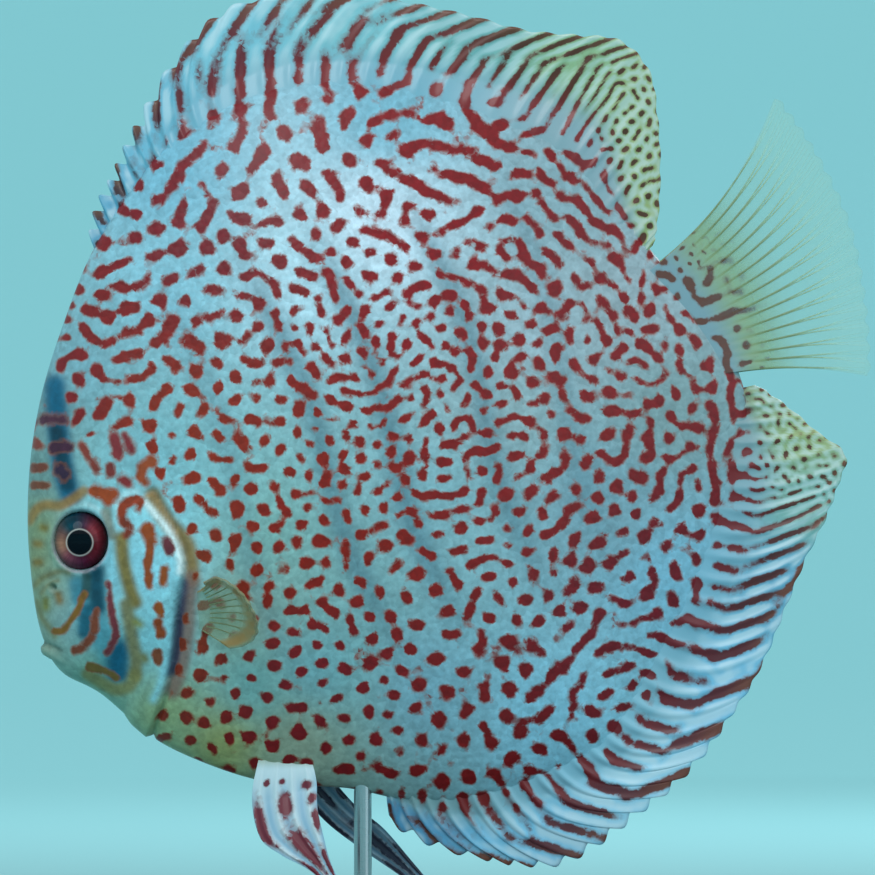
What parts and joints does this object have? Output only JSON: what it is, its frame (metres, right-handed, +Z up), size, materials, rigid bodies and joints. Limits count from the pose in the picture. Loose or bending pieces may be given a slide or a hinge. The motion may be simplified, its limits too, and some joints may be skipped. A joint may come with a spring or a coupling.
{
  "type": "discus fish model",
  "caption": "Life-size display model of a spotted turquoise discus fish swimming head down, held by a steel rod on a flat dark base.",
  "frame": {"origin": "on the floor under the middle of the model's bounding box", "axes": "+X from the head end to the tail end, +Z up, so -Y faces the fish's left flank and the picture's viewer"},
  "size_m": [0.1518, 0.084, 0.1757],
  "materials": {
    "skin": "satin, spotted",
    "fin": "satin, striped",
    "eye": "polished",
    "stand_base": "satin lacquer",
    "stand_rod": "brushed"
  },
  "bodies": {
    "root": {"head": "skin", "torso": "skin", "tail_stalk": "skin", "gill_cover_left": "skin", "gill_cover_right": "skin", "eye_left": "eye", "eye_right": "eye", "dorsal_fin": "fin", "anal_fin": "fin", "caudal_fin": "fin", "pelvic_fin_left": "fin", "pelvic_fin_right": "fin", "pectoral_fin_left": "fin", "pectoral_fin_right": "fin", "stand_base": "stand_base", "stand_rod": "stand_rod"}
  },
  "joints": []
}
